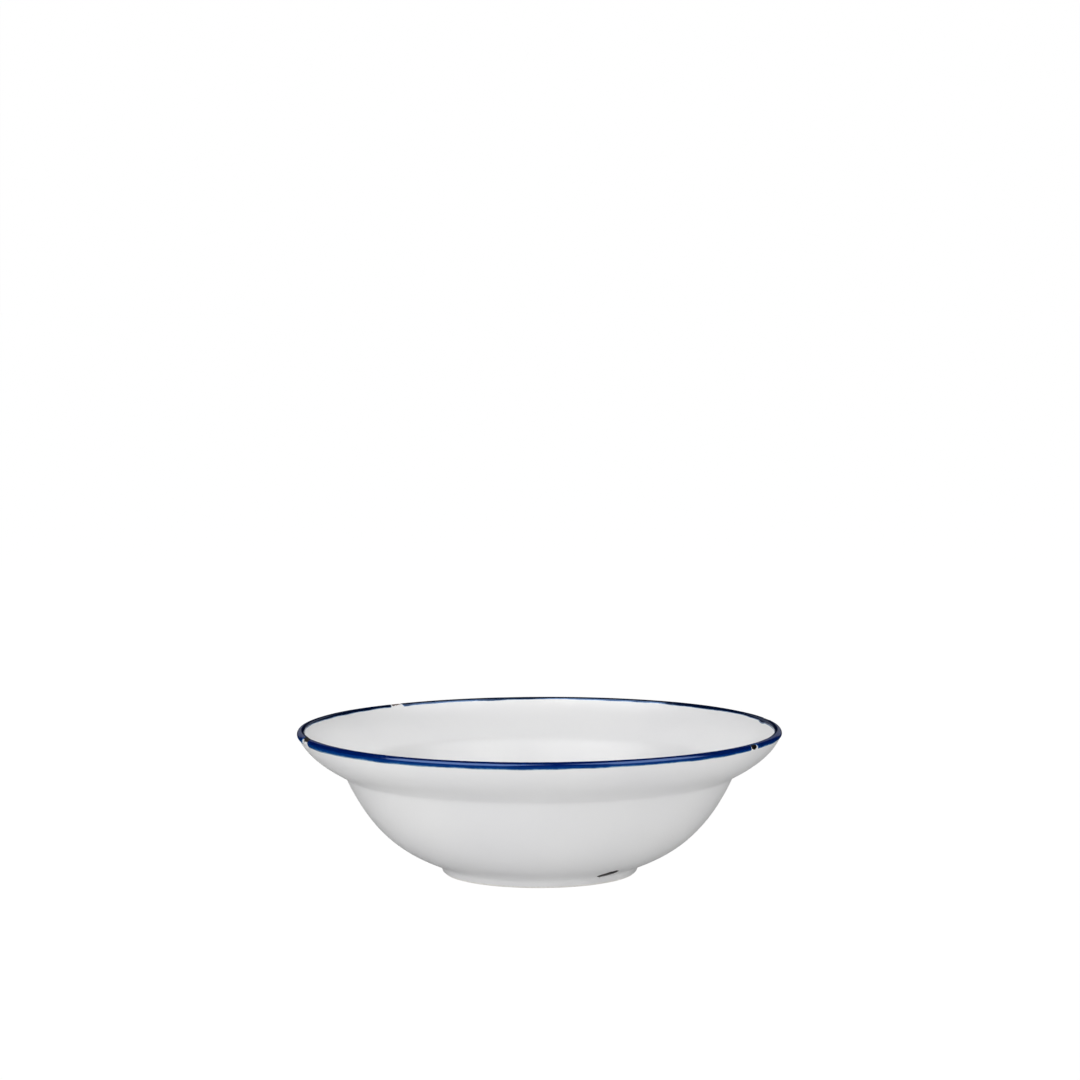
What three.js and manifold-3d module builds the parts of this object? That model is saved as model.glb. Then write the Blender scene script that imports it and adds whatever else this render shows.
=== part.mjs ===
// Low bowl of glazed stoneware: a short foot ring, a deep well, a stepped shoulder and a flared
// flange. The rounded lip carries a blue band over the white glaze, broken by brown chip marks.
// Millimetres, +Z up. The origin is the centre of the circle that the foot ring stands on.

import * as THREE from 'three';
import { mergeVertices } from 'three/addons/utils/BufferGeometryUtils.js';
import Module from 'manifold-3d';

const wasm = await Module();
wasm.setup();

// Overall sizes, measured over the coats
const rimDiameter = 230;
const bowlHeight = 69;

// Thickness of the clay, and of the coats on it
const lipThickness = 2.6;
const wallThickness = 4.4;
const floorThickness = 5;
const glazeThickness = 0.4;
const bandThickness = 0.3;
const spotThickness = 0.2;

// Clearance between the fired glaze and the colours on it
const coatGap = 0.02;

// Foot ring, the recess inside it, and how high the bare standing edge reaches on the outside
const footRadius = 45.6;
const footWidth = 3.8;
const footHeight = 4.3;
const footFlare = 1.4;
const footFillet = 1.2;
const footEdgeRound = 0.7;
const recessDepth = 2.6;
const recessFillet = 1;
const bareEdgeHeight = 1.1;

// Well and flange: the flange leaves the wall at the shoulder, a step on the outside
const floorRadius = 31;
const flangeWidth = 22.7;
const flangeRise = 21.2;
const shoulderFillet = 3;

// Slopes of the outer face in degrees from level, and how full its two curves are
const wallSlopeAtFoot = 19;
const wallSlopeAtShoulder = 65;
const flangeSlopeAtShoulder = 26;
const flangeSlopeAtLip = 64;
const wallFullness = 0.385;
const flangeFullness = 0.33;

// How far the band runs down the outside, below the rounded lip, and the direction in degrees from
// the lip's centre in which it ends on the inside
const bandSkirt = 0.3;
const bandInnerEnd = 143;

// Chip marks on the lip: turn in degrees from the front towards the right, length along the rim
// and reach in from the outermost edge; each lies in a gap in the band that is wider by the halo
const chipHalo = 0.9;
const chips = {
  chip_front_right: { turn: 59, length: 5.2, reach: 1.2 },
  chip_right: { turn: 104.7, length: 9.2, reach: 1.5 },
  chip_back_left: { turn: 220, length: 5.8, reach: 4.6 },
  chip_left: { turn: 288.5, length: 9.4, reach: 4.6 },
};

// Chip mark on the underside of the wall: its middle lies out from the top of the foot ring, and seen
// from the front its right end lies farther out than its left one
const footChip = { turn: 36.6, length: 10.6, width: 7, tilt: -58, out: 5.4 };

// Facets round the turn and round a chip mark, and steps along the parts of the outline
const turnSteps = 40;
const chipSteps = 20;
const wallSteps = 7;
const flangeSteps = 5;
const cornerSteps = 2;
const shoulderSteps = 3;
const lipTopSteps = 3;
const lipInnerSteps = 2;

const { degToRad, radToDeg } = THREE.MathUtils;
const quarterTurn = 90;

const point = (radius, height) => new THREE.Vector2(radius, height);

const heading = (degrees) => point(Math.cos(degToRad(degrees)), Math.sin(degToRad(degrees)));

// The point at a distance from another along a slope
const along = (from, degrees, distance) => from.clone().addScaledVector(heading(degrees), distance);

// A curve between two points that leaves and arrives at the given slopes
function bend(from, slopeFrom, to, slopeTo, fullness, steps) {
  const handle = fullness * from.distanceTo(to);
  const leaving = along(from, slopeFrom, handle);
  const arriving = along(to, slopeTo, -handle);
  return new THREE.CubicBezierCurve(from, leaving, arriving, to).getPoints(steps);
}

// A rounded corner between two points on its sides
function rounded(from, corner, to, steps) {
  return new THREE.QuadraticBezierCurve(from, corner, to).getPoints(steps);
}

// A stretch of the lip's half round, between two directions from its centre
function lipArc(fromDegrees, toDegrees, steps) {
  const arc = new THREE.EllipseCurve(
    lipCentre.x, lipCentre.y, lipRadius, lipRadius, degToRad(fromDegrees), degToRad(toDegrees));
  return arc.getPoints(steps);
}

// Where two straight lines cross, each given by a point and its slope
function crossing(first, firstSlope, second, secondSlope) {
  const firstWay = heading(firstSlope);
  const secondWay = heading(secondSlope);
  const apart = second.clone().sub(first);
  return along(first, firstSlope, apart.cross(secondWay) / firstWay.cross(secondWay));
}

// How far a fillet reaches along each side of its corner
function filletReach(radius, slope, nextSlope) {
  const bendAngle = degToRad(Math.abs(slope - nextSlope));
  return radius * Math.tan(bendAngle / 2);
}

// Foot ring
const ringInside = footRadius - footWidth;
const footEdge = point(footRadius, 0);
const footTop = point(footRadius + footFlare, footHeight);
const footSlope = radToDeg(Math.atan2(footHeight, footFlare));
const footReach = filletReach(footFillet, footSlope, wallSlopeAtFoot);
const wallStart = along(footTop, wallSlopeAtFoot, footReach);

// Shoulder
const shoulder = point(rimDiameter / 2 - flangeWidth, bowlHeight - flangeRise);
const shoulderReach = filletReach(shoulderFillet, wallSlopeAtShoulder, flangeSlopeAtShoulder);
const wallTop = along(shoulder, wallSlopeAtShoulder, -shoulderReach);
const flangeStart = along(shoulder, flangeSlopeAtShoulder, shoulderReach);

// Lip: a half round at the end of the flange, as thick as the clay there
const coats = glazeThickness + bandThickness;
const lipRadius = lipThickness / 2;
const lipCentre = point(rimDiameter / 2 - coats - lipRadius, bowlHeight - coats - lipRadius);
const lipOuterSide = flangeSlopeAtLip - quarterTurn;
const lipInnerSide = flangeSlopeAtLip + quarterTurn;
const skirtEnd = along(along(lipCentre, lipOuterSide, lipRadius), flangeSlopeAtLip, -bandSkirt);
const lipEnd = along(lipCentre, lipInnerSide, lipRadius);

// The clay's outline, from the axis below to the axis above, in named stretches

function recessLine() {
  const roofEnd = point(ringInside - recessFillet, recessDepth);
  const sideTop = point(ringInside, recessDepth - recessFillet);
  return [
    point(0, recessDepth),
    ...rounded(roofEnd, point(ringInside, recessDepth), sideTop, cornerSteps),
  ];
}

function standingEdgeLine() {
  const inner = point(ringInside, 0);
  return [
    ...rounded(point(ringInside, footEdgeRound), inner, point(ringInside + footEdgeRound, 0), cornerSteps),
    ...rounded(point(footRadius - footEdgeRound, 0), footEdge, along(footEdge, footSlope, footEdgeRound),
      cornerSteps),
  ];
}

function footSideLine() {
  const bareEdge = along(footEdge, footSlope, bareEdgeHeight / heading(footSlope).y);
  return [bareEdge, ...rounded(along(footTop, footSlope, -footReach), footTop, wallStart, cornerSteps)];
}

function outsideLine() {
  const wall = bend(wallStart, wallSlopeAtFoot, wallTop, wallSlopeAtShoulder, wallFullness, wallSteps);
  const corner = rounded(wallTop, shoulder, flangeStart, shoulderSteps);
  const flange = bend(
    flangeStart, flangeSlopeAtShoulder, skirtEnd, flangeSlopeAtLip, flangeFullness, flangeSteps);
  return [...wall.slice(1), ...corner.slice(1), ...flange.slice(1, -1)];
}

const outerLipLine = () => [
  skirtEnd,
  ...lipArc(lipOuterSide, 0, 1),
  ...lipArc(0, quarterTurn, lipTopSteps).slice(1),
];

const innerBandLine = () => lipArc(quarterTurn, bandInnerEnd, lipInnerSteps).slice(1);

const innerLipLine = () => lipArc(bandInnerEnd, lipInnerSide, 1).slice(1);

function insideLine() {
  const floorHeight = recessDepth + floorThickness;
  const innerWallTop = along(wallTop, wallSlopeAtShoulder + quarterTurn, wallThickness);
  const innerFlangeStart = along(flangeStart, flangeSlopeAtShoulder + quarterTurn, wallThickness);
  const wellEdge = crossing(innerWallTop, wallSlopeAtShoulder, innerFlangeStart, flangeSlopeAtShoulder);
  const wall = bend(
    point(floorRadius, floorHeight), 0, innerWallTop, wallSlopeAtShoulder, wallFullness, wallSteps);
  const corner = rounded(innerWallTop, wellEdge, innerFlangeStart, shoulderSteps);
  const flange = bend(
    innerFlangeStart, flangeSlopeAtShoulder, lipEnd, flangeSlopeAtLip, flangeFullness, flangeSteps);
  const upward = [point(0, floorHeight), ...wall, ...corner.slice(1), ...flange.slice(1, -1)];
  return upward.reverse();
}

const clayLine = [];

// Adds a stretch to the outline and gives the numbers of its first and last points
function addStretch(points) {
  const first = clayLine.length;
  clayLine.push(...points);
  return { first, last: clayLine.length - 1 };
}

const recess = addStretch(recessLine());
addStretch(standingEdgeLine());
const footSide = addStretch(footSideLine());
const outside = addStretch(outsideLine());
const outerLip = addStretch(outerLipLine());
const innerBand = addStretch(innerBandLine());
addStretch(innerLipLine());
const inside = addStretch(insideLine());

// Direction out of the clay, square to the outline at one of its points
function outward(index) {
  const before = clayLine[Math.max(index - 1, 0)];
  const after = clayLine[Math.min(index + 1, clayLine.length - 1)];
  return point(after.y - before.y, before.x - after.x).normalize();
}

// The outline between two of its points, raised off the clay
function raisedLine(first, last, distance) {
  const line = clayLine.slice(first, last + 1);
  return line.map((corner, index) => corner.clone().addScaledVector(outward(first + index), distance));
}

const turned = (outline) => new THREE.LatheGeometry(outline, turnSteps).rotateX(Math.PI / 2);

// A turned coat on the outline between two of its points, from one distance off the clay to another
function coat(first, last, under, over) {
  const back = raisedLine(first, last, under).reverse();
  const face = raisedLine(first, last, over);
  if (last === inside.last) {
    return turned([...back, ...face]);
  }
  if (first === recess.first) {
    return turned([...face, ...back]);
  }
  return turned([...face, ...back, face[0]]);
}

// Cutting with solids

function solid(geometry) {
  const bare = geometry.clone();
  bare.deleteAttribute('normal');
  bare.deleteAttribute('uv');
  const merged = mergeVertices(bare);
  return new wasm.Manifold(new wasm.Mesh({
    numProp: 3,
    vertProperties: new Float32Array(merged.attributes.position.array),
    triVerts: new Uint32Array(merged.index.array),
  }));
}

function geometryOf(body) {
  const mesh = body.getMesh();
  const geometry = new THREE.BufferGeometry();
  geometry.setAttribute('position', new THREE.BufferAttribute(mesh.vertProperties, 3));
  geometry.setIndex(new THREE.BufferAttribute(mesh.triVerts, 1));
  return geometry;
}

// An upright oval column through the whole bowl, its middle out from the axis at a turn from the front
function ovalColumn(halfLength, halfWidth, tilt, out, turn) {
  const column = new THREE.CylinderGeometry(1, 1, 2 * bowlHeight, chipSteps).rotateX(Math.PI / 2);
  column.scale(halfLength, halfWidth, 1);
  column.rotateZ(degToRad(tilt));
  column.translate(0, -out, 0);
  column.rotateZ(degToRad(turn));
  return solid(column);
}

// The column of a chip mark on the rim, grown by a margin all round
const chipColumn = ({ turn, length, reach }, margin) =>
  ovalColumn(length / 2 + margin, reach + margin, 0, rimDiameter / 2, turn);

// The column of the chip mark above the foot ring
const footChipColumn = ({ turn, length, width, tilt, out }) =>
  ovalColumn(length / 2, width / 2, tilt, footTop.x + out, turn);

// Materials

const finish = (color, roughness) => new THREE.MeshStandardMaterial({ color, roughness, metalness: 0 });
const bareClay = () => finish(0xe9e4da, 0.85);
const whiteGlaze = () => finish(0xe8e7e4, 0.3);
const blueGlaze = () => finish(0x06296d, 0.25);
const brownGlaze = () => finish(0x3a2d26, 0.6);

// The bowl

const bowl = new THREE.Group();

function addPart(name, geometry, material) {
  const mesh = new THREE.Mesh(geometry, material);
  mesh.name = name;
  bowl.add(mesh);
}

addPart('clay_body', turned(clayLine), bareClay());

// White glaze on all but the standing edge; the inside and outside coats meet on top of the lip
addPart('base_glaze', coat(recess.first, recess.last, 0, glazeThickness), whiteGlaze());
addPart('outside_glaze', coat(footSide.first, outerLip.last, 0, glazeThickness), whiteGlaze());
addPart('inside_glaze', coat(outerLip.last, inside.last, 0, glazeThickness), whiteGlaze());

// Blue band on the lip, cut into pieces by the gaps for the chip marks, the longest piece first
const colourStart = glazeThickness + coatGap;
const bandRing = solid(coat(outerLip.first, innerBand.last, colourStart, coats));
const brokenBand = Object.values(chips).reduce(
  (band, chip) => band.subtract(chipColumn(chip, chipHalo)), bandRing);
const bandPieces = brokenBand.decompose().sort((one, other) => other.volume() - one.volume());
bandPieces.forEach((piece, index) => addPart(`rim_band_${index + 1}`, geometryOf(piece), blueGlaze()));

// Brown chip marks on the lip and one on the underside of the wall, straight on the white glaze
const spotEnd = glazeThickness + spotThickness;
const lipSpots = solid(coat(outerLip.first, innerBand.last, colourStart, spotEnd));
for (const [name, chip] of Object.entries(chips)) {
  addPart(name, geometryOf(lipSpots.intersect(chipColumn(chip, 0))), brownGlaze());
}

const wallSpots = solid(coat(footSide.first, outside.last, colourStart, spotEnd));
addPart('chip_foot', geometryOf(wallSpots.intersect(footChipColumn(footChip))), brownGlaze());

export default bowl;
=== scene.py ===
# Low bowl of glazed stoneware: fired clay under a white glaze, with a blue band on the lip that is
# broken by brown chip marks. Metres, +Z up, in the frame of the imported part.

import math

import bmesh
import bpy
import numpy as np
from mathutils import Matrix, Vector


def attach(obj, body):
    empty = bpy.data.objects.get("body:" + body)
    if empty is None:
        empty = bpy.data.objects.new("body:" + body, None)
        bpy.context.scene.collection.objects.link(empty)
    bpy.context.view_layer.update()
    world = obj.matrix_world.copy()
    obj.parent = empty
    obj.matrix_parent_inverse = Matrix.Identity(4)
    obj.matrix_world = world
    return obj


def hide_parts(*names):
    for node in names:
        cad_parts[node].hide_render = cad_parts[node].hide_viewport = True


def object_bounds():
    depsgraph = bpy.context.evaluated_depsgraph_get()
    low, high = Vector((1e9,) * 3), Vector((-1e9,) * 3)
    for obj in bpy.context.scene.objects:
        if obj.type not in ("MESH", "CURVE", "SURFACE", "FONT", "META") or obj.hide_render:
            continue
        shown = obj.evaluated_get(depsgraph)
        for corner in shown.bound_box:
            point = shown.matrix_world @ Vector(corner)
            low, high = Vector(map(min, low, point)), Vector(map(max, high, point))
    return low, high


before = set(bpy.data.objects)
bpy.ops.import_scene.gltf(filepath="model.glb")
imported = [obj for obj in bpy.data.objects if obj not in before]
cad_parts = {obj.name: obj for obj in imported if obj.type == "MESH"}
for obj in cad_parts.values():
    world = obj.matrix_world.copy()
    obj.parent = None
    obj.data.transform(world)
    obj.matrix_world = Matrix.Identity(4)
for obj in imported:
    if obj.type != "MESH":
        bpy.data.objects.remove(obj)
cad_low, cad_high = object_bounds()

MM = 0.001

# Overall sizes, measured over the coats
RIM_RADIUS = cad_high.x
BOWL_HEIGHT = cad_high.z

# Thickness of the clay, and of the coats on it
LIP_THICKNESS = 2.6 * MM
WALL_THICKNESS = 4.4 * MM
FLOOR_THICKNESS = 5 * MM
GLAZE_THICKNESS = 0.4 * MM
BAND_THICKNESS = 0.28 * MM
SPOT_THICKNESS = 0.18 * MM
COAT_GAP = 0.02 * MM
COATS = 0.7 * MM

# Foot ring, the recess inside it, and how high the bare standing edge reaches on the outside
FOOT_RADIUS = 45.6 * MM
FOOT_WIDTH = 3.8 * MM
FOOT_HEIGHT = 4.3 * MM
FOOT_FLARE = 1.4 * MM
FOOT_FILLET = 1.2 * MM
FOOT_EDGE_ROUND = 0.7 * MM
RECESS_DEPTH = 2.6 * MM
RECESS_FILLET = 1 * MM
BARE_EDGE_HEIGHT = 1.1 * MM

# Well and flange: the flange leaves the wall at the shoulder, a step on the outside
FLOOR_RADIUS = 31 * MM
FLANGE_WIDTH = 22.7 * MM
FLANGE_RISE = 21.2 * MM
SHOULDER_FILLET = 3 * MM

# Slopes of the outer face in degrees from level, and how full its two curves are
WALL_SLOPE_AT_FOOT = 19
WALL_SLOPE_AT_SHOULDER = 65
FLANGE_SLOPE_AT_SHOULDER = 26
FLANGE_SLOPE_AT_LIP = 64
WALL_FULLNESS = 0.385
FLANGE_FULLNESS = 0.33

# How far the band runs down the outside below the rounded lip, how much lower it reaches on the left
# than on the right, the direction in degrees from the lip's centre in which its even part ends inside,
# and how far it runs on from there, all round and in addition at the sides
BAND_SKIRT = 0.6 * MM
BAND_SLANT = 0.6 * MM
BAND_INNER_END = 143
BAND_INNER_RUN = 0.25 * MM
BAND_SIDE_RUN = 0.5 * MM

# How far the turned shape strays from a true one, and how far the glaze's waves lie below it; the
# waves are at their full size outside a radius, and each wandering edge is a sum of some waves too
OUT_OF_ROUND = 0.15 * MM
OUT_OF_ROUND_PHASE = -0.7
RIM_SAG = 0.15 * MM
RIM_SAG_PHASE = 1.9
GLAZE_WAVES = 0.02 * MM
GLAZE_SINK = 0.035 * MM
WAVE_COUNT = 10
WANDER_COUNT = 5
SHORTEST_WAVE = 18 * MM
LONGEST_WAVE = 60 * MM
FULL_WAVE_RADIUS = 40 * MM

# Widths over which the colours rise to their full thickness from a thin edge
BAND_EDGE = 0.9 * MM
SPOT_EDGE = 0.6 * MM

# Chip marks on the lip: turn in degrees from the front towards the right, length along the rim,
# reach down the outside and over the crest, how much longer the upper side is than the lower one,
# how ragged the outline is, and the tones from dark to light
CHIPS = {
    "chip_front_right": dict(
        turn=59, length=5.2 * MM, down=3.2 * MM, over=-0.3 * MM, taper=0.4, ragged=0.04,
        tones=((3, 3, 3), (8, 6, 6), (40, 20, 16))),
    "chip_right": dict(
        turn=104.7, length=9.2 * MM, down=2.9 * MM, over=-0.7 * MM, taper=0.1, ragged=0.05,
        tones=((26, 23, 24), (46, 40, 36), (88, 80, 64))),
    "chip_back_left": dict(
        turn=220, length=5.8 * MM, down=2.8 * MM, over=1.1 * MM, taper=-0.1, ragged=0.07,
        tones=((52, 37, 30), (84, 60, 46), (116, 86, 66))),
    "chip_left": dict(
        turn=288.5, length=9.4 * MM, down=2.2 * MM, over=2.0 * MM, taper=0.2, ragged=0.08,
        tones=((5, 5, 5), (14, 12, 12), (44, 36, 32))),
}

# Gaps in the band: a chip mark that only bites into it from below leaves a strip over the crest, with
# a halo of white glaze before and after it; one that breaks it has the band's ends at these distances
BITES = {
    "chip_front_right": dict(before=0.45 * MM, after=1.0 * MM, strip=-0.75 * MM, bulge=0),
    "chip_right": dict(before=0.5 * MM, after=0.5 * MM, strip=-0.25 * MM, bulge=0.6 * MM),
}
BREAKS = {
    "chip_back_left": dict(before=3.7 * MM, after=2.9 * MM),
    "chip_left": dict(before=5.0 * MM, after=4.5 * MM),
}

# Chip mark on the underside of the wall: its middle lies out from the top of the foot ring, and its
# length and width run at these slants to the turn
FOOT_CHIP_TURN = 36.6
FOOT_CHIP_LENGTH = 11 * MM
FOOT_CHIP_WIDTH = 7.4 * MM
FOOT_CHIP_TILT = 58
FOOT_CHIP_WIDTH_TILT = 128
FOOT_CHIP_OUT = 5.4 * MM
FOOT_CHIP_RAGGED = 0.03
FOOT_CHIP_TONES = ((34, 33, 34), (52, 49, 49), (84, 80, 78))

# How square the outlines of the chip marks are: 2 is an oval
LIP_CHIP_SQUARENESS = 2.6
FOOT_CHIP_SQUARENESS = 2.4

# Fineness of the meshes
TURN_STEPS = 480
CURVE_STEPS = 160
LINE_STEP = 0.1 * MM
CLAY_STEP = 0.4 * MM
CLAY_EVERY = 8
LIP_COAT_STEP = 0.25 * MM
WALL_COAT_STEP = 1.25 * MM
LIP_COAT_REACH = 12 * MM
BAND_STEP = 0.25 * MM
BAND_ROWS = 22
EDGE_SEARCH = 12
CHIP_RINGS = 22
CHIP_SPOKES = 120
JOIN_DISTANCE = 0.0005 * MM
SHARP_ANGLE = 40
FULL_TURN = 2 * math.pi

SEED = 5
draws = np.random.default_rng(SEED)


# Outline of the bowl in the half plane of radius and height

def point(radius, height):
    return np.array([radius, height])


def heading(degrees):
    return point(math.cos(math.radians(degrees)), math.sin(math.radians(degrees)))


def along(start, degrees, distance):
    """The point at a distance from another along a slope."""
    return start + heading(degrees) * distance


def bend(start, slope_start, end, slope_end, fullness):
    """A curve between two points that leaves and arrives at the given slopes."""
    handle = fullness * np.linalg.norm(end - start)
    leaving = along(start, slope_start, handle)
    arriving = along(end, slope_end, -handle)
    u = np.linspace(0, 1, CURVE_STEPS)[:, None]
    v = 1 - u
    return v**3 * start + 3 * v**2 * u * leaving + 3 * v * u**2 * arriving + u**3 * end


def rounded(start, corner, end):
    """A rounded corner between two points on its sides."""
    u = np.linspace(0, 1, CURVE_STEPS)[:, None]
    v = 1 - u
    return v**2 * start + 2 * v * u * corner + u**2 * end


def lip_arc(from_degrees, to_degrees):
    """A stretch of the lip's half round, between two directions from its centre."""
    angles = np.radians(np.linspace(from_degrees, to_degrees, CURVE_STEPS))
    return lip_centre + lip_radius * np.stack([np.cos(angles), np.sin(angles)], axis=1)


def cross(first, second):
    return first[0] * second[1] - first[1] * second[0]


def crossing(first, first_slope, second, second_slope):
    """Where two straight lines cross, each given by a point and its slope."""
    first_way = heading(first_slope)
    second_way = heading(second_slope)
    return first + first_way * cross(second - first, second_way) / cross(first_way, second_way)


def fillet_reach(radius, slope, next_slope):
    """How far a fillet reaches along each side of its corner."""
    return radius * math.tan(math.radians(abs(slope - next_slope)) / 2)


# Foot ring
ring_inside = FOOT_RADIUS - FOOT_WIDTH
foot_edge = point(FOOT_RADIUS, 0)
foot_top = point(FOOT_RADIUS + FOOT_FLARE, FOOT_HEIGHT)
foot_slope = math.degrees(math.atan2(FOOT_HEIGHT, FOOT_FLARE))
foot_reach = fillet_reach(FOOT_FILLET, foot_slope, WALL_SLOPE_AT_FOOT)
wall_start = along(foot_top, WALL_SLOPE_AT_FOOT, foot_reach)
bare_edge = along(foot_edge, foot_slope, BARE_EDGE_HEIGHT / heading(foot_slope)[1])

# Shoulder
shoulder = point(RIM_RADIUS - FLANGE_WIDTH, BOWL_HEIGHT - FLANGE_RISE)
shoulder_reach = fillet_reach(SHOULDER_FILLET, WALL_SLOPE_AT_SHOULDER, FLANGE_SLOPE_AT_SHOULDER)
wall_top = along(shoulder, WALL_SLOPE_AT_SHOULDER, -shoulder_reach)
flange_start = along(shoulder, FLANGE_SLOPE_AT_SHOULDER, shoulder_reach)

# Lip: a half round at the end of the flange
lip_radius = LIP_THICKNESS / 2
lip_centre = point(RIM_RADIUS - COATS - lip_radius, BOWL_HEIGHT - COATS - lip_radius)
lip_outer_side = FLANGE_SLOPE_AT_LIP - 90
lip_inner_side = FLANGE_SLOPE_AT_LIP + 90
skirt_end = along(along(lip_centre, lip_outer_side, lip_radius), FLANGE_SLOPE_AT_LIP, -BAND_SKIRT)
lip_end = along(lip_centre, lip_inner_side, lip_radius)


def recess_line():
    roof_end = point(ring_inside - RECESS_FILLET, RECESS_DEPTH)
    side_top = point(ring_inside, RECESS_DEPTH - RECESS_FILLET)
    corner = point(ring_inside, RECESS_DEPTH)
    return np.vstack([point(0, RECESS_DEPTH), rounded(roof_end, corner, side_top)])


def standing_edge_line():
    inner = rounded(
        point(ring_inside, FOOT_EDGE_ROUND), point(ring_inside, 0), point(ring_inside + FOOT_EDGE_ROUND, 0))
    outer = rounded(
        point(FOOT_RADIUS - FOOT_EDGE_ROUND, 0), foot_edge, along(foot_edge, foot_slope, FOOT_EDGE_ROUND))
    return np.vstack([inner, outer])


def outside_line():
    """From the bare edge of the foot ring up to the crest of the lip."""
    return np.vstack([
        bare_edge,
        rounded(along(foot_top, foot_slope, -foot_reach), foot_top, wall_start),
        bend(wall_start, WALL_SLOPE_AT_FOOT, wall_top, WALL_SLOPE_AT_SHOULDER, WALL_FULLNESS),
        rounded(wall_top, shoulder, flange_start),
        bend(flange_start, FLANGE_SLOPE_AT_SHOULDER, skirt_end, FLANGE_SLOPE_AT_LIP, FLANGE_FULLNESS),
        lip_arc(lip_outer_side, 90),
    ])


def inside_line():
    """From the crest of the lip down to the middle of the floor."""
    floor_height = RECESS_DEPTH + FLOOR_THICKNESS
    inner_wall_top = along(wall_top, WALL_SLOPE_AT_SHOULDER + 90, WALL_THICKNESS)
    inner_flange_start = along(flange_start, FLANGE_SLOPE_AT_SHOULDER + 90, WALL_THICKNESS)
    well_edge = crossing(
        inner_wall_top, WALL_SLOPE_AT_SHOULDER, inner_flange_start, FLANGE_SLOPE_AT_SHOULDER)
    floor_end = point(FLOOR_RADIUS, floor_height)
    flange = bend(
        inner_flange_start, FLANGE_SLOPE_AT_SHOULDER, lip_end, FLANGE_SLOPE_AT_LIP, FLANGE_FULLNESS)
    wall = bend(floor_end, 0, inner_wall_top, WALL_SLOPE_AT_SHOULDER, WALL_FULLNESS)
    return np.vstack([
        lip_arc(90, lip_inner_side),
        flange[::-1],
        rounded(inner_flange_start, well_edge, inner_wall_top),
        wall[::-1],
        point(0, floor_height),
    ])


def path_of(line):
    """Distance along a line of points, from its first point."""
    return np.concatenate([[0], np.cumsum(np.linalg.norm(np.diff(line, axis=0), axis=1))])


def evenly(line, step):
    """The same line with points at equal steps."""
    path = path_of(line)
    stations = np.linspace(0, path[-1], round(path[-1] / step) + 1)
    return np.stack([np.interp(stations, path, line[:, axis]) for axis in (0, 1)], axis=1)


def raised(line, distance):
    """A line moved out of the clay, square to itself."""
    way = np.gradient(line, axis=0)
    out = np.stack([way[:, 1], -way[:, 0]], axis=1)
    return line + distance * out / np.linalg.norm(out, axis=1)[:, None]


# The glazed surface as one line from the foot over the crest to the middle of the floor; its path
# is zero on the crest, less than zero outside and more than zero inside
outside_steps = evenly(outside_line(), LINE_STEP)
inside_steps = evenly(inside_line(), LINE_STEP)
clay_line = np.vstack([outside_steps, inside_steps[1:]])
glaze_line = raised(clay_line, GLAZE_THICKNESS)
glaze_line[-1, 0] = 0
glaze_out = (glaze_line - clay_line) / GLAZE_THICKNESS
glaze_path = path_of(glaze_line)
glaze_path -= glaze_path[len(outside_steps) - 1]

lowest_path = glaze_path[0]
middle_path = glaze_path[-1]
lip_path = lip_radius + GLAZE_THICKNESS
band_low_path = -lip_path * math.radians(90 - lip_outer_side) - BAND_SKIRT
band_high_path = lip_path * math.radians(BAND_INNER_END - 90)


# Places on the bowl

def spin(radius, height, turn):
    """Points round the axis, with the slight unevenness of a turned and fired bowl."""
    share = height / BOWL_HEIGHT
    pull = OUT_OF_ROUND * share * (1 + np.cos(2 * turn + OUT_OF_ROUND_PHASE)) / 2
    drop = RIM_SAG * share**2 * (1 + np.cos(3 * turn + RIM_SAG_PHASE)) / 2
    radius = np.maximum(radius - np.minimum(pull, radius), 0)
    return np.stack([radius * np.sin(turn), -radius * np.cos(turn), height - drop], axis=-1)


wave_turns = draws.integers(2, 12, WAVE_COUNT)
wave_lengths = draws.uniform(SHORTEST_WAVE, LONGEST_WAVE, WAVE_COUNT)
wave_phases = draws.uniform(0, FULL_TURN, WAVE_COUNT)


def waves(turn, path, radius):
    """Slow swells of the glaze, fading towards the middle of the floor."""
    swell = sum(
        np.sin(count * turn + FULL_TURN * path / length + phase)
        for count, length, phase in zip(wave_turns, wave_lengths, wave_phases))
    return GLAZE_WAVES * swell / math.sqrt(WAVE_COUNT) * np.clip(radius / FULL_WAVE_RADIUS, 0, 1) ** 2


def place(turn, path, lift):
    """Points at a turn from the front and a path from the crest, lifted off the glaze."""
    turn, path, lift = np.broadcast_arrays(turn, path, lift)
    radius = np.interp(path, glaze_path, glaze_line[:, 0])
    height = np.interp(path, glaze_path, glaze_line[:, 1])
    lift = lift + waves(turn, path, radius) - GLAZE_SINK
    radius = radius + lift * np.interp(path, glaze_path, glaze_out[:, 0])
    height = height + lift * np.interp(path, glaze_path, glaze_out[:, 1])
    return spin(radius, height, turn)


def wander(turn, lengths_and_sizes):
    """An irregular line round the rim: waves of several lengths, each with its own size."""
    total = np.zeros_like(turn)
    for length, size in lengths_and_sizes:
        middle = FULL_TURN * RIM_RADIUS / length
        for count in draws.integers(round(middle * 0.7), round(middle * 1.4), WANDER_COUNT):
            total += size * np.sin(count * turn + draws.uniform(0, FULL_TURN)) / math.sqrt(WANDER_COUNT)
    return total


# Meshes

def strip(grid):
    """Four-sided faces between the rows and columns of a grid of vertex numbers."""
    corners = (grid[:-1, :-1], grid[:-1, 1:], grid[1:, 1:], grid[1:, :-1])
    return np.stack([corner.ravel() for corner in corners], axis=1)


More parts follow.
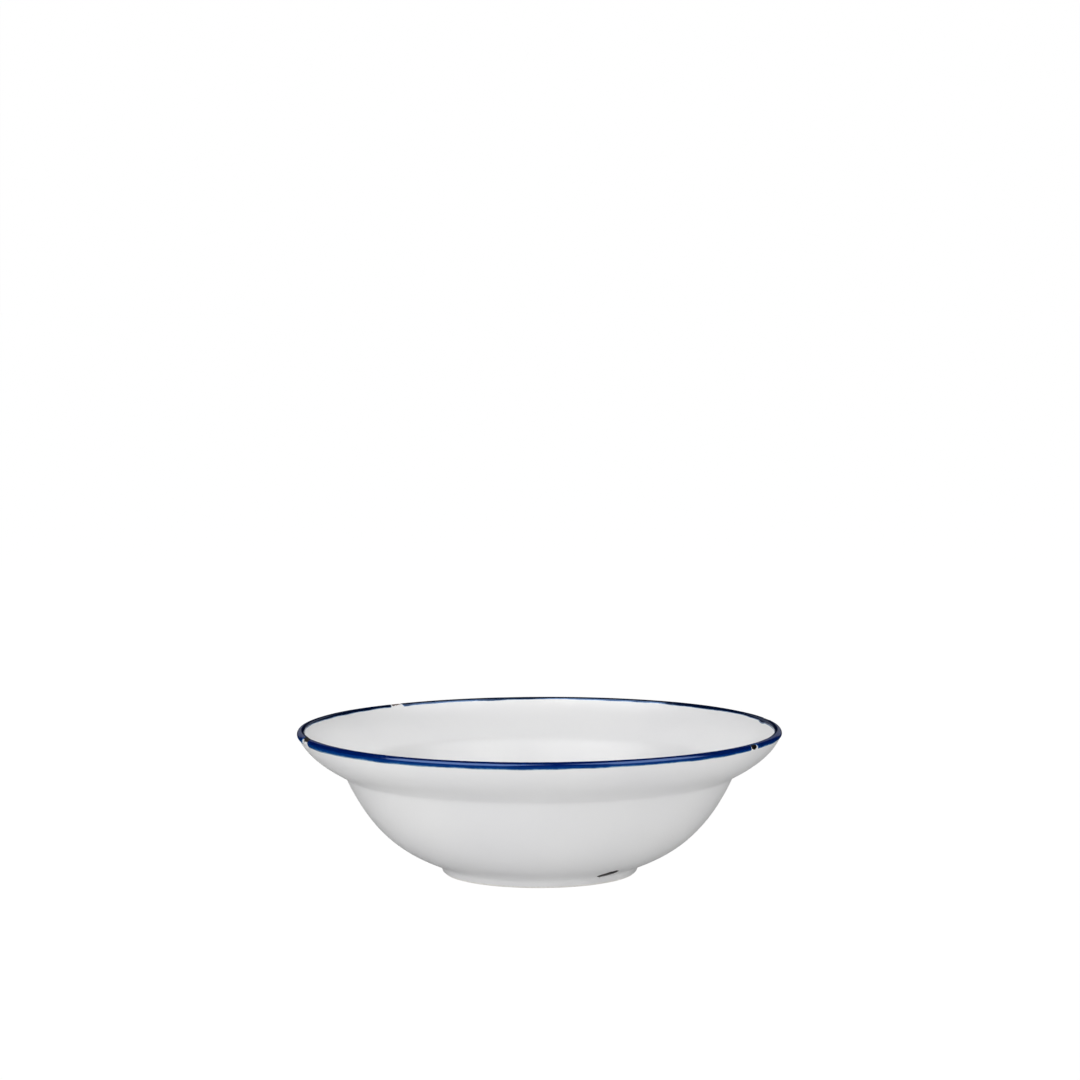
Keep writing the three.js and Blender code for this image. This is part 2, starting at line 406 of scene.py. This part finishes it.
def solid_between(name, face, back, closed_round, flow=None):
    """A closed thin solid between two grids of points: rows run across it, columns along the rim."""
    rows, columns = face.shape[:2]
    top = np.arange(rows * columns).reshape(rows, columns)
    if closed_round:
        top = np.hstack([top, top[:, :1]])
    under = top + rows * columns
    faces = [
        strip(top),
        strip(under)[:, ::-1],
        strip(np.stack([under[0], top[0]])),
        strip(np.stack([top[-1], under[-1]])),
    ]
    if not closed_round:
        faces.append(strip(np.stack([top[:, 0], under[:, 0]])))
        faces.append(strip(np.stack([under[:, -1], top[:, -1]])))
    points = np.vstack([face.reshape(-1, 3), back.reshape(-1, 3)])
    mesh = bpy.data.meshes.new(name)
    mesh.from_pydata(points.tolist(), [], np.vstack(faces).tolist())
    if flow is not None:
        layer = mesh.attributes.new("flow", "FLOAT_VECTOR", "POINT")
        layer.data.foreach_set("vector", np.concatenate([flow.ravel(), flow.ravel()]).astype(np.float32))
    return tidied(mesh)


def turned_solid(name, line):
    """A closed solid turned from an outline that starts and ends on the axis."""
    turns = np.linspace(0, FULL_TURN, TURN_STEPS, endpoint=False)
    points = spin(line[:, :1], line[:, 1:], turns[None, :])
    grid = np.arange(points.shape[0] * TURN_STEPS).reshape(-1, TURN_STEPS)
    grid = np.hstack([grid, grid[:, :1]])
    mesh = bpy.data.meshes.new(name)
    mesh.from_pydata(points.reshape(-1, 3).tolist(), [], strip(grid).tolist())
    return tidied(mesh)


def tidied(mesh):
    """Joins points that coincide, as on the axis, and shades the mesh smooth up to sharp edges."""
    work = bmesh.new()
    work.from_mesh(mesh)
    bmesh.ops.remove_doubles(work, verts=work.verts, dist=JOIN_DISTANCE)
    work.to_mesh(mesh)
    work.free()
    mesh.shade_smooth()
    mesh.set_sharp_from_angle(angle=math.radians(SHARP_ANGLE))
    return mesh


def add_piece(name, mesh, material, node):
    piece = bpy.data.objects.new(name, mesh)
    bpy.context.scene.collection.objects.link(piece)
    mesh.materials.append(material)
    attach(piece, "root")
    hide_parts(node)
    return piece


# Materials

def tone(red, green, blue):
    """A colour picked on a screen, from 0 to 255, as linear light."""
    shares = np.array([red, green, blue]) / 255
    linear = np.where(shares <= 0.04045, shares / 12.92, ((shares + 0.055) / 1.055) ** 2.4)
    return (*linear.tolist(), 1)


class Paint:
    """A material and the few kinds of nodes that it is made of."""

    def __init__(self, name):
        self.material = bpy.data.materials.new(name)
        self.material.use_nodes = True
        self.tree = self.material.node_tree
        self.shader = self.tree.nodes["Principled BSDF"]

    def node(self, kind, **inputs):
        made = self.tree.nodes.new(kind)
        for socket, value in inputs.items():
            self.feed(made.inputs[socket.replace("_", " ")], value)
        return made

    def feed(self, socket, value):
        if isinstance(value, bpy.types.NodeSocket):
            self.tree.links.new(value, socket)
        else:
            socket.default_value = value

    def set(self, **inputs):
        for socket, value in inputs.items():
            self.feed(self.shader.inputs[socket.replace("_", " ")], value)

    def place(self):
        """Coordinates on the object, in metres."""
        return self.tree.nodes.new("ShaderNodeTexCoord").outputs["Object"]

    def flow(self):
        """Millimetres along the rim, across it and in from the piece's edge."""
        read = self.tree.nodes.new("ShaderNodeAttribute")
        read.attribute_name = "flow"
        return read.outputs["Vector"]

    def part(self, vector, axis):
        return self.node("ShaderNodeSeparateXYZ", Vector=vector).outputs[axis]

    def stretched(self, vector, scale):
        return self.node("ShaderNodeMapping", Vector=vector, Scale=scale).outputs["Vector"]

    def noise(self, vector, size, detail=3.0):
        """Cloudy noise from 0 to 1 with features of about this size."""
        made = self.node("ShaderNodeTexNoise", Vector=vector, Scale=1 / size, Detail=detail)
        return made.outputs["Fac"]

    def between(self, value, low, high, to_low, to_high):
        made = self.node("ShaderNodeMapRange", Value=value)
        limits = {"From Min": low, "From Max": high, "To Min": to_low, "To Max": to_high}
        for socket, limit in limits.items():
            made.inputs[socket].default_value = limit
        return made.outputs["Result"]

    def sum(self, first, second, times=1.0):
        """First plus second times a number."""
        made = self.tree.nodes.new("ShaderNodeMath")
        made.operation = "MULTIPLY_ADD"
        self.feed(made.inputs[0], second)
        self.feed(made.inputs[1], times)
        self.feed(made.inputs[2], first)
        return made.outputs["Value"]

    def product(self, first, second):
        return self.sum(0, first, second)

    def ramp(self, value, stops):
        made = self.node("ShaderNodeValToRGB", Fac=value)
        elements = made.color_ramp.elements
        while len(elements) < len(stops):
            elements.new(1)
        for element, (position, colour) in zip(elements, stops):
            element.position = position
            element.color = colour
        return made.outputs["Color"]

    def mix(self, share, first, second):
        made = self.tree.nodes.new("ShaderNodeMix")
        made.data_type = "RGBA"
        for number, value in zip((0, 6, 7), (share, first, second)):
            self.feed(made.inputs[number], value)
        return made.outputs[2]

    def bump(self, height, depth, before=None):
        made = self.node("ShaderNodeBump", Height=height, Distance=depth)
        if before is not None:
            self.feed(made.inputs["Normal"], before)
        return made.outputs["Normal"]


def white_glaze():
    paint = Paint("white_glaze")
    place_on = paint.place()
    cloud = paint.noise(place_on, 45 * MM, 1)
    peel = paint.bump(paint.noise(place_on, 1.6 * MM, 1), 0.008 * MM)
    swell = paint.bump(paint.noise(place_on, 11 * MM, 1), 0.03 * MM, peel)
    paint.set(
        Base_Color=paint.ramp(cloud, [(0.3, tone(231, 231, 232)), (0.7, tone(235, 235, 235))]),
        Roughness=paint.between(paint.noise(place_on, 14 * MM, 2), 0.3, 0.7, 0.29, 0.35),
        Normal=swell,
        IOR=1.5,
    )
    return paint.material


def blue_glaze():
    """Cobalt blue, paler where it thins out along its edges and nearly black inside the crest."""
    paint = Paint("blue_glaze")
    flow = paint.flow()
    streaks = paint.noise(paint.stretched(flow, (0.09, 1.1, 0)), 1, 4)
    clouds = paint.noise(paint.stretched(flow, (0.5, 0.8, 0)), 1, 4)
    depth = paint.sum(paint.sum(paint.part(flow, "Z"), streaks, 0.3), clouds, 0.3)
    thick = paint.ramp(
        paint.between(depth, 0.3, 2.3, 0, 1),
        [
            (0, tone(205, 220, 234)),
            (0.05, tone(178, 203, 224)),
            (0.11, tone(110, 152, 192)),
            (0.17, tone(34, 98, 160)),
            (0.25, tone(4, 58, 128)),
            (0.5, tone(0, 31, 102)),
            (1, tone(0, 20, 88)),
        ],
    )
    streaked = paint.mix(paint.between(streaks, 0.42, 0.7, 0, 0.5), thick, tone(0, 46, 112))
    inner = paint.between(paint.sum(paint.part(flow, "Y"), clouds, 0.6), -0.3, 0.7, 0, 0.92)
    fringe = paint.between(paint.part(flow, "Z"), 0.15, 0.4, 0, 1)
    paint.set(
        Base_Color=paint.mix(paint.product(inner, fringe), streaked, tone(3, 13, 38)),
        Roughness=paint.between(clouds, 0.3, 0.7, 0.1, 0.17),
        Normal=paint.bump(streaks, 0.02 * MM),
        IOR=2.4,
        Specular_Tint=(0.35, 0.56, 1, 1),
    )
    return paint.material


def brown_glaze(name, tones):
    paint = Paint(name)
    place_on = paint.place()
    grit = paint.noise(place_on, 0.8 * MM, 6)
    patches = paint.noise(place_on, 2.6 * MM, 3)
    rough = paint.bump(grit, 0.06 * MM)
    dark, middle, light = (tone(*picked) for picked in tones)
    mottled = paint.ramp(paint.sum(patches, grit, 0.6), [(0.55, dark), (0.8, middle), (1, light)])
    rim = paint.between(paint.part(paint.flow(), "Z"), 0.02, 0.2, 0.35, 0)
    paint.set(
        Base_Color=paint.mix(rim, mottled, light),
        Roughness=paint.between(patches, 0.35, 0.65, 0.3, 0.62),
        Normal=rough,
    )
    return paint.material


def bare_clay():
    paint = Paint("bare_clay")
    place_on = paint.place()
    grain = paint.noise(place_on, 0.5 * MM, 6)
    stain = paint.noise(place_on, 9 * MM, 4)
    speckle = paint.ramp(
        grain, [(0.3, tone(214, 210, 203)), (0.45, tone(236, 234, 230)), (0.7, tone(243, 242, 239))])
    paint.set(
        Base_Color=paint.mix(paint.between(stain, 0.45, 0.75, 0, 0.4), speckle, tone(226, 222, 214)),
        Roughness=paint.between(grain, 0.3, 0.7, 0.72, 0.95),
        Normal=paint.bump(grain, 0.05 * MM),
    )
    return paint.material


# Clay body, bare only on its standing edge

def build_clay(material):
    outline = np.vstack([
        evenly(np.vstack([recess_line(), standing_edge_line(), bare_edge]), CLAY_STEP),
        clay_line[CLAY_EVERY // 2::CLAY_EVERY],
        point(0, RECESS_DEPTH + FLOOR_THICKNESS),
    ])
    add_piece("clay", turned_solid("clay", outline), material, "clay_body")


# White glaze in the recess, outside and inside

def coat_rows(start, end):
    """Paths across a coat, closer together near the crest of the lip."""
    path = np.linspace(start, end, 2000)
    spacing = np.interp(np.abs(path), (0, LIP_COAT_REACH), (LIP_COAT_STEP, WALL_COAT_STEP))
    count = np.concatenate([[0], np.cumsum(np.diff(path) / spacing[1:])])
    return np.interp(np.linspace(0, count[-1], round(count[-1])), count, path)


def glaze_coat(name, start, end):
    turns = np.linspace(0, FULL_TURN, TURN_STEPS, endpoint=False)[None, :]
    rows = coat_rows(start, end)[:, None]
    under = COAT_GAP - GLAZE_THICKNESS
    return solid_between(name, place(turns, rows, 0), place(turns, rows, under), True)


def build_glazes(material):
    add_piece("glaze_outside", glaze_coat("glaze_outside", lowest_path, 0),
              material, "outside_glaze")
    add_piece("glaze_inside", glaze_coat("glaze_inside", 0, middle_path),
              material, "inside_glaze")
    line = evenly(recess_line(), CLAY_STEP)
    face = raised(line, GLAZE_THICKNESS)
    face[0, 0] = 0
    turns = np.linspace(0, FULL_TURN, TURN_STEPS, endpoint=False)[None, :]
    coat = solid_between(
        "glaze_base", spin(face[:, :1], face[:, 1:], turns), spin(line[:, :1], line[:, 1:], turns), True)
    add_piece("glaze_base", coat, material, "base_glaze")


# Blue band on the lip

# Waves of the band's edges round the rim: length and size of each
LOWER_EDGE_WAVES = ((70 * MM, 0.12 * MM), (22 * MM, 0.06 * MM), (6 * MM, 0.015 * MM))
INNER_EDGE_WAVES = ((70 * MM, 0.16 * MM), (22 * MM, 0.08 * MM), (6 * MM, 0.02 * MM))
BAND_END_ROUND = 1.1 * MM

# How much paler the band is along its lower edge, how much this leans to the left, and the path from
# the crest where it begins
BLEED = 0.5
BLEED_SLANT = 0.2
LOWER_EDGE_TOP = -1.4 * MM
LOWER_EDGE_FADE = 1.2 * MM


def arc_from(chip, turn):
    """Distance along the rim from the middle of a chip mark."""
    turned = turn - math.radians(chip["turn"])
    return RIM_RADIUS * ((turned + math.pi) % FULL_TURN - math.pi)


def band_edges(turn, arc, length):
    """The band's lower and inner edges, as paths from the crest."""
    low = band_low_path + BAND_SLANT * np.sin(turn) + wander(turn, LOWER_EDGE_WAVES)
    run = BAND_INNER_RUN + BAND_SIDE_RUN * np.abs(np.sin(turn))
    high = band_high_path + run + wander(turn, INNER_EDGE_WAVES)
    for name, bite in BITES.items():
        chip = CHIPS[name]
        from_middle = arc_from(chip, turn)
        half = chip["length"] / 2 + np.where(from_middle < 0, bite["before"], bite["after"])
        share = np.clip(np.abs(from_middle) / half, 0, 1)
        low = low + (1 - share**4) ** 0.5 * (bite["strip"] - low)
        high = high + bite["bulge"] * (1 - share**2)
    from_end = np.minimum(arc, length - arc)
    fullness = np.sqrt(1 - (1 - np.clip(from_end / BAND_END_ROUND, 0, 1)) ** 2)
    middle = (low + high) / 2
    half = (high - low) / 2 * fullness
    return middle - half, middle + half


def depth_between(path, low, high, step):
    """Distance in from the nearest edge, also from edges that run across the band."""
    depth = np.minimum(path - low, high - path)
    padded_low = np.pad(low, EDGE_SEARCH, mode="edge")
    padded_high = np.pad(high, EDGE_SEARCH, mode="edge")
    for shift in range(-EDGE_SEARCH, EDGE_SEARCH + 1):
        columns = slice(EDGE_SEARCH + shift, EDGE_SEARCH + shift + len(low))
        for edge in (padded_low[columns], padded_high[columns]):
            depth = np.minimum(depth, np.hypot(shift * step, path - edge))
    return np.maximum(depth, 0)


def eased(share):
    share = np.clip(share, 0, 1)
    return share * share * (3 - 2 * share)


def colour_depth(turn, path, depth):
    """Depth as the colour shows it: less along the lower edge, where the band thins out slowly."""
    lower = eased((LOWER_EDGE_TOP - path) / LOWER_EDGE_FADE)
    return depth * (1 - lower * (BLEED - BLEED_SLANT * np.sin(turn)))


def build_band(name, node, first, last, material):
    """The band between two chip marks that break it."""
    start = math.radians(CHIPS[first]["turn"]) + BREAKS[first]["after"] / RIM_RADIUS
    end = math.radians(CHIPS[last]["turn"]) - BREAKS[last]["before"] / RIM_RADIUS
    length = RIM_RADIUS * ((end - start) % FULL_TURN)
    arc = np.linspace(0, length, round(length / BAND_STEP))
    turn = start + arc / RIM_RADIUS
    low, high = band_edges(turn, arc, length)
    across = (1 - np.cos(np.linspace(0, math.pi, BAND_ROWS)))[:, None] / 2
    path = low + across * (high - low)
    depth = depth_between(path, low, high, arc[1])
    lift = COAT_GAP + BAND_THICKNESS * (0.08 + 0.92 * eased(depth / BAND_EDGE))
    flow = np.stack(np.broadcast_arrays(arc, path, colour_depth(turn, path, depth)), axis=-1) / MM
    mesh = solid_between(name, place(turn, path, lift), place(turn, path, COAT_GAP), False, flow)
    add_piece(name, mesh, material, node)


# Chip marks

def blob(length, width, taper, ragged, squareness):
    """Rings of an irregular oval: places along and across it, and depths in from its outline."""
    angle = np.linspace(FULL_TURN, 0, CHIP_SPOKES, endpoint=False)[None, :]
    half = length / 2 * (1 + taper * np.sin(angle))
    along_share = np.abs(np.cos(angle) / half)
    across_share = np.abs(2 * np.sin(angle) / width)
    outline = (along_share**squareness + across_share**squareness) ** (-1 / squareness)
    for count in range(3, 20):
        tooth = np.sin(count * angle + draws.uniform(0, FULL_TURN)) / math.sqrt(count / 3)
        outline = outline * (1 + ragged * tooth)
    ring = np.sin(np.linspace(0, math.pi / 2, CHIP_RINGS))[:, None]
    return ring * outline * np.cos(angle), ring * outline * np.sin(angle), (1 - ring) * outline


def build_spot(name, node, turn, path, depth, material):
    lift = COAT_GAP + SPOT_THICKNESS * (0.1 + 0.9 * eased(depth / SPOT_EDGE))
    flow = np.stack(np.broadcast_arrays(turn * RIM_RADIUS, path, depth), axis=-1) / MM
    mesh = solid_between(name, place(turn, path, lift), place(turn, path, COAT_GAP), True, flow)
    add_piece(name, mesh, material, node)


def build_lip_chip(node, chip):
    width = chip["down"] + chip["over"]
    along_rim, across, depth = blob(
        chip["length"], width, chip["taper"], chip["ragged"], LIP_CHIP_SQUARENESS)
    turn = math.radians(chip["turn"]) + along_rim / RIM_RADIUS
    path = (chip["over"] - chip["down"]) / 2 + across
    paint = brown_glaze(f"brown_{node}", chip["tones"])
    build_spot(node.replace("chip", "spot"), node, turn, path, depth, paint)


def build_foot_chip():
    along_it, across_it, depth = blob(
        FOOT_CHIP_LENGTH, FOOT_CHIP_WIDTH, 0, FOOT_CHIP_RAGGED, FOOT_CHIP_SQUARENESS)
    length_way = heading(FOOT_CHIP_TILT)
    width_way = heading(FOOT_CHIP_WIDTH_TILT)
    along_rim = along_it * length_way[0] + across_it * width_way[0]
    outward = along_it * length_way[1] + across_it * width_way[1]
    radius = foot_top[0] + FOOT_CHIP_OUT
    widest = np.argmax(glaze_line[:, 0])
    middle = np.interp(radius, glaze_line[:widest, 0], glaze_path[:widest])
    turn = math.radians(FOOT_CHIP_TURN) + along_rim / radius
    paint = brown_glaze("brown_chip_foot", FOOT_CHIP_TONES)
    build_spot("spot_foot", "chip_foot", turn, middle + outward, depth, paint)


# Stage, light and camera

STAGE_RADIUS = 40
STAGE_SIDES = 96
FLOOR_DROP = 0.1 * MM
BOUNCE_TONE = tone(179, 179, 179)
BOUNCE_GLOW = 0.355


def stage_piece(name, mesh, material):
    mesh.materials.append(material)
    made = bpy.data.objects.new(name, mesh)
    bpy.context.scene.collection.objects.link(made)
    return made


def disc(name, radius, height, material):
    mesh = bpy.data.meshes.new(name)
    turns = np.linspace(0, FULL_TURN, STAGE_SIDES, endpoint=False)
    level = np.full(STAGE_SIDES, height)
    points = np.stack([radius * np.cos(turns), radius * np.sin(turns), level], axis=1)
    mesh.from_pydata(points.tolist(), [], [list(range(STAGE_SIDES))])
    return stage_piece(name, mesh, material)


def dome(name, radius, material):
    mesh = bpy.data.meshes.new(name)
    work = bmesh.new()
    bmesh.ops.create_uvsphere(work, u_segments=STAGE_SIDES, v_segments=STAGE_SIDES // 2, radius=radius)
    work.to_mesh(mesh)
    work.free()
    return stage_piece(name, mesh, material)


def plain_paint(name, colour, glow):
    paint = Paint(name)
    paint.set(Base_Color=colour, Roughness=0.9, Emission_Color=(1, 1, 1, 1), Emission_Strength=glow)
    return paint.material


def only_for_camera(made):
    """Takes the light and the reflections of a stage piece off the bowl."""
    made.visible_diffuse = False
    made.visible_glossy = False
    made.visible_shadow = False


def build_stage():
    white = plain_paint("white_paper", tone(0, 0, 0), 1)
    only_for_camera(disc("floor", STAGE_RADIUS, -FLOOR_DROP, white))
    only_for_camera(dome("backdrop", STAGE_RADIUS, white))
    grey = plain_paint("bounce_board", BOUNCE_TONE, BOUNCE_GLOW)
    bounce = disc("bounce", STAGE_RADIUS, -2 * FLOOR_DROP, grey)
    bounce.visible_camera = False
    bounce.visible_glossy = False


# Soft lights: place, width, height and power, all aimed at the middle of the bowl; only some of them
# show as reflections
LIGHTS = {
    "key_left": ((-0.7, -0.7, 0.95), 1.5, 1.1, 10),
    "key_right": ((0.85, -0.51, 0.95), 1.15, 1.1, 6.5),
    "front": ((0, -2.1, 0.3), 1.8, 0.4, 4.9),
    "left_front": ((-1.3, -1.1, 0.35), 0.6, 0.6, 6.1),
    "right_front": ((1.3, -1.1, 0.35), 0.6, 0.6, 4.7),
    "back_high": ((0, 1.2, 1.2), 1.2, 0.8, 10.9),
    "back_low": ((0, 1.6, 0.8), 1.4, 0.5, 11.4),
    "back_left": ((-0.5, 1.6, 0.5), 0.6, 0.9, 0.35),
    "back_right": ((0.5, 1.6, 0.5), 0.6, 0.9, 0.35),
}
REFLECTED_LIGHTS = ("key_left", "key_right", "back_left", "back_right")
WORLD_LIGHT = 0.07


def soft_light(name, place_at, width, height, power):
    lamp = bpy.data.lights.new(name, "AREA")
    lamp.shape = "RECTANGLE"
    lamp.size = width
    lamp.size_y = height
    lamp.energy = power
    made = bpy.data.objects.new(name, lamp)
    made.location = place_at
    way = Vector((0, 0, BOWL_HEIGHT / 2)) - made.location
    made.rotation_euler = way.to_track_quat("-Z", "Y").to_euler()
    made.visible_glossy = name in REFLECTED_LIGHTS
    bpy.context.scene.collection.objects.link(made)


def build_lights():
    world = bpy.data.worlds.new("studio")
    bpy.context.scene.world = world
    world.use_nodes = True
    background = world.node_tree.nodes["Background"]
    background.inputs["Color"].default_value = (1, 1, 1, 1)
    background.inputs["Strength"].default_value = WORLD_LIGHT
    world.cycles_visibility.glossy = False
    for name, (place_at, width, height, power) in LIGHTS.items():
        soft_light(name, place_at, width, height, power)


# Camera: distance and rise from a point on the axis, and how it is turned from there
CAMERA_DISTANCE = 1.5
CAMERA_RISE = 8.326
CAMERA_AIM_HEIGHT = 57 * MM
CAMERA_RIGHT = 0.5 * MM
CAMERA_TILT = 3.851
CAMERA_ROLL = -0.15
CAMERA_LENS = 104.913
SENSOR_WIDTH = 36


def build_camera():
    lens = bpy.data.cameras.new("camera")
    lens.sensor_width = SENSOR_WIDTH
    lens.lens = CAMERA_LENS
    camera = bpy.data.objects.new("camera", lens)
    rise = math.radians(CAMERA_RISE)
    camera.location = (
        CAMERA_RIGHT,
        -CAMERA_DISTANCE * math.cos(rise),
        CAMERA_AIM_HEIGHT + CAMERA_DISTANCE * math.sin(rise),
    )
    pitch = Matrix.Rotation(math.radians(90 - CAMERA_RISE + CAMERA_TILT), 3, "X")
    roll = Matrix.Rotation(math.radians(CAMERA_ROLL), 3, "Z")
    camera.rotation_euler = (pitch @ roll).to_euler()
    bpy.context.scene.collection.objects.link(camera)
    bpy.context.scene.camera = camera


build_camera()
build_lights()
build_stage()
build_clay(bare_clay())
build_glazes(white_glaze())
blue = blue_glaze()
build_band("band_long", "rim_band_1", "chip_left", "chip_back_left", blue)
build_band("band_short", "rim_band_2", "chip_back_left", "chip_left", blue)
for chip_name, chip_sizes in CHIPS.items():
    build_lip_chip(chip_name, chip_sizes)
build_foot_chip()

bpy.context.scene.view_settings.view_transform = "Standard"
